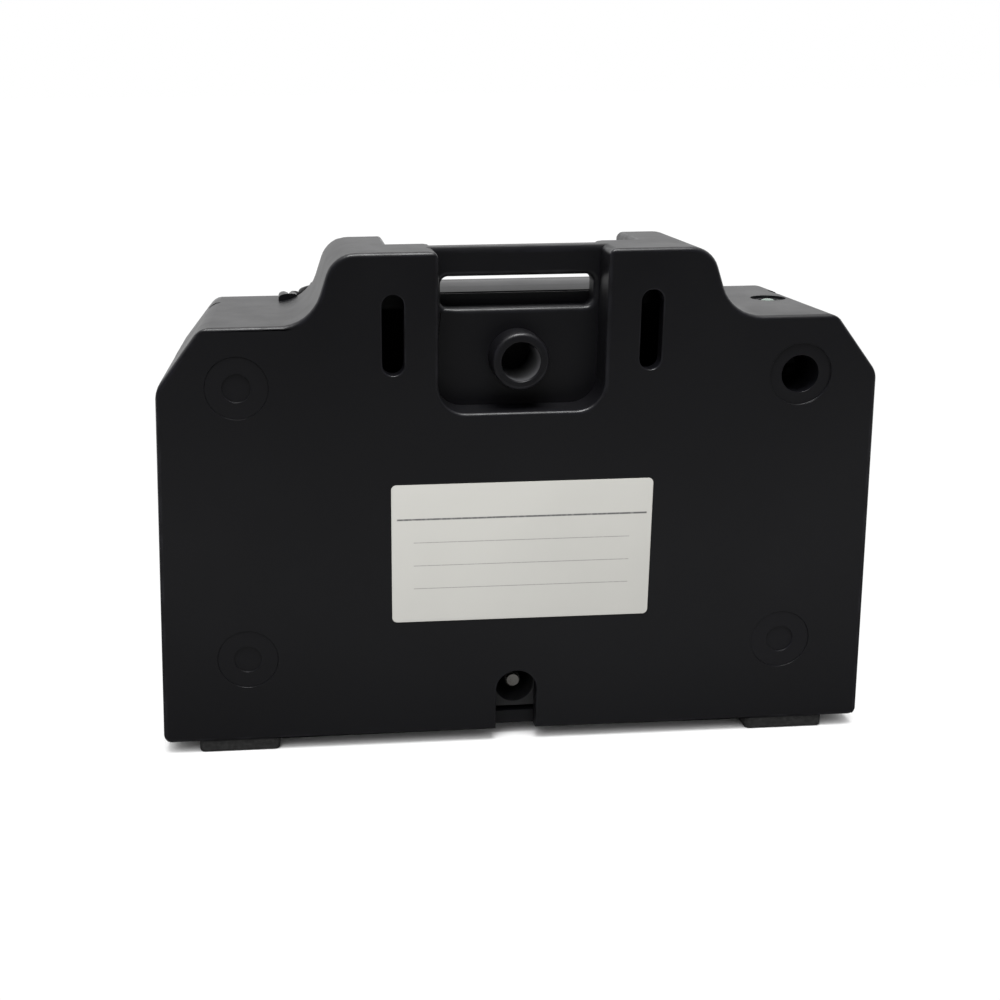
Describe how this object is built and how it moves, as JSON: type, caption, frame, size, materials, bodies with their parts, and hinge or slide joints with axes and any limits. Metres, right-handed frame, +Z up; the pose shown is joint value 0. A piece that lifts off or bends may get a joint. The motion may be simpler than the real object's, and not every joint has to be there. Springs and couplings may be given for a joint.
{
  "type": "two-way radio charger",
  "caption": "Desk charger for a handheld radio: flat upright rear plate with raised ears, screw wells, a blank label and hanging slots, an upright pocket, sprung contacts, status light and rubber feet.",
  "frame": {"origin": "middle of the base, on the surface that the charger stands on", "axes": "+X to the right of someone who faces the rear plate, +Y from the rear plate to the front face with the collar's dip, +Z up"},
  "size_m": [0.1144, 0.072, 0.0795],
  "materials": {
    "case": "finely textured black moulding",
    "cup": "satin black moulding",
    "label": "matt off-white film",
    "rubber": "matt black",
    "plug": "matt black",
    "dark_steel": "blackened",
    "steel": "bright zinc",
    "board": "green solder mask",
    "black_parts": "black moulded resin",
    "ferrite": "matt grey ferrite",
    "copper": "enamelled copper wire",
    "capacitor": "dark sleeve",
    "fuse": "ochre coating",
    "brass": "gold-plated brass",
    "lens": "clear moulded lens",
    "light_chip": "pale yellow resin",
    "wire": "red and black insulation",
    "connector": "ivory nylon"
  },
  "bodies": {
    "charger": {"rear_cover": "case", "front_cover": "case", "pocket_cup": "cup", "blank_label": "label", "rubber_feet": "rubber", "case_screws": "dark_steel", "screw_plugs": "plug", "cup_screws": "steel", "circuit_board": "board", "board_screws": "steel", "supply_socket": "black_parts", "socket_pin": "steel", "socket_spring_leaf": "steel", "socket_terminals": "steel", "charge_controller": "black_parts", "power_transistor": "black_parts", "coil_core": "ferrite", "coil_winding": "copper", "input_capacitor": "capacitor", "output_capacitor": "capacitor", "rectifier_diode": "black_parts", "chip_resistors": "black_parts", "resettable_fuse": "fuse", "contact_carrier": "cup", "contact_terminals": "brass", "contact_spring_left": "steel", "contact_spring_right": "steel", "light_lens": "lens", "light_chip": "light_chip", "light_board": "board", "light_wires": "wire", "wire_header": "connector", "wire_plug": "connector"},
    "contact_left": {"contact_left": "brass"},
    "contact_right": {"contact_right": "brass"}
  },
  "joints": [
    {"name": "contact_left_press", "type": "slide", "parent": "charger", "child": "contact_left", "axis": [0, 0, -1], "range_m": [0, 0.002], "stiffness_N_per_m": 250, "springref_m": -0.001, "deforming": ["contact_spring_left"]},
    {"name": "contact_right_press", "type": "slide", "parent": "charger", "child": "contact_right", "axis": [0, 0, -1], "range_m": [0, 0.002], "stiffness_N_per_m": 250, "springref_m": -0.001, "deforming": ["contact_spring_right"]}
  ]
}
